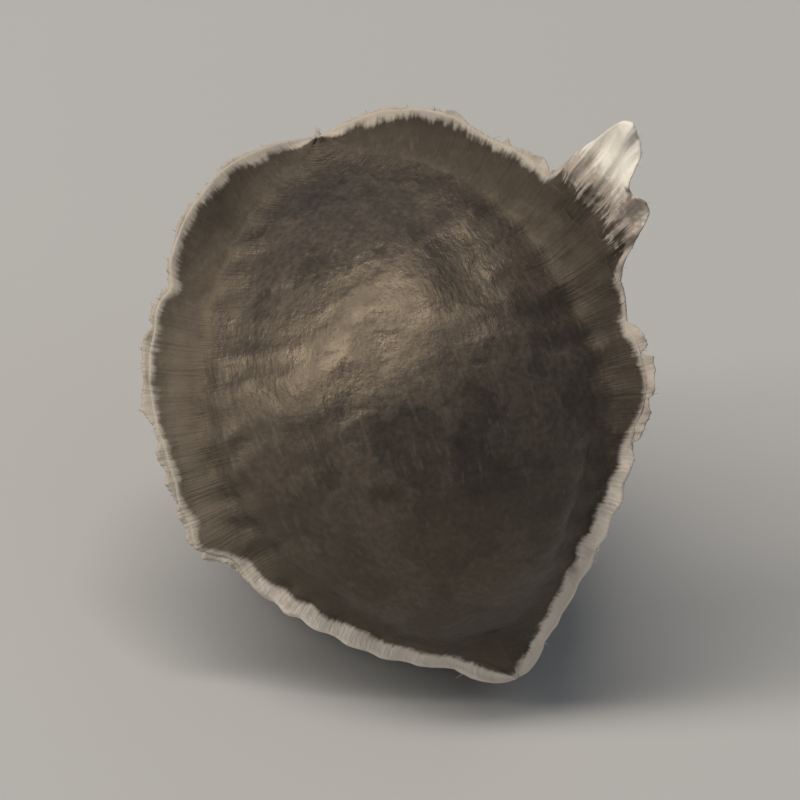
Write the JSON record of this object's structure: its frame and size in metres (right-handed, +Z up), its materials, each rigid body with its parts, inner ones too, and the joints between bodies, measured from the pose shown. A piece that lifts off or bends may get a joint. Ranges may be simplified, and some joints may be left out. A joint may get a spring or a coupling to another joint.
{
  "type": "moringa seed",
  "caption": "Dry winged moringa seed lying on its side: a round kernel in a dark ribbed coat that grows out into thin torn papery wings and draws in to a point.",
  "frame": {"origin": "on the surface that the seed lies on, under the middle of its box", "axes": "+Z up from that surface, -Y towards the side from which the face between the left and the right wing shows, +X to the right as seen from there, on the side of the torn flap"},
  "size_m": [0.0104, 0.0106, 0.0125],
  "materials": {
    "seed_coat": "satin"
  },
  "bodies": {
    "root": {"moringa_seed": "seed_coat"}
  },
  "joints": []
}
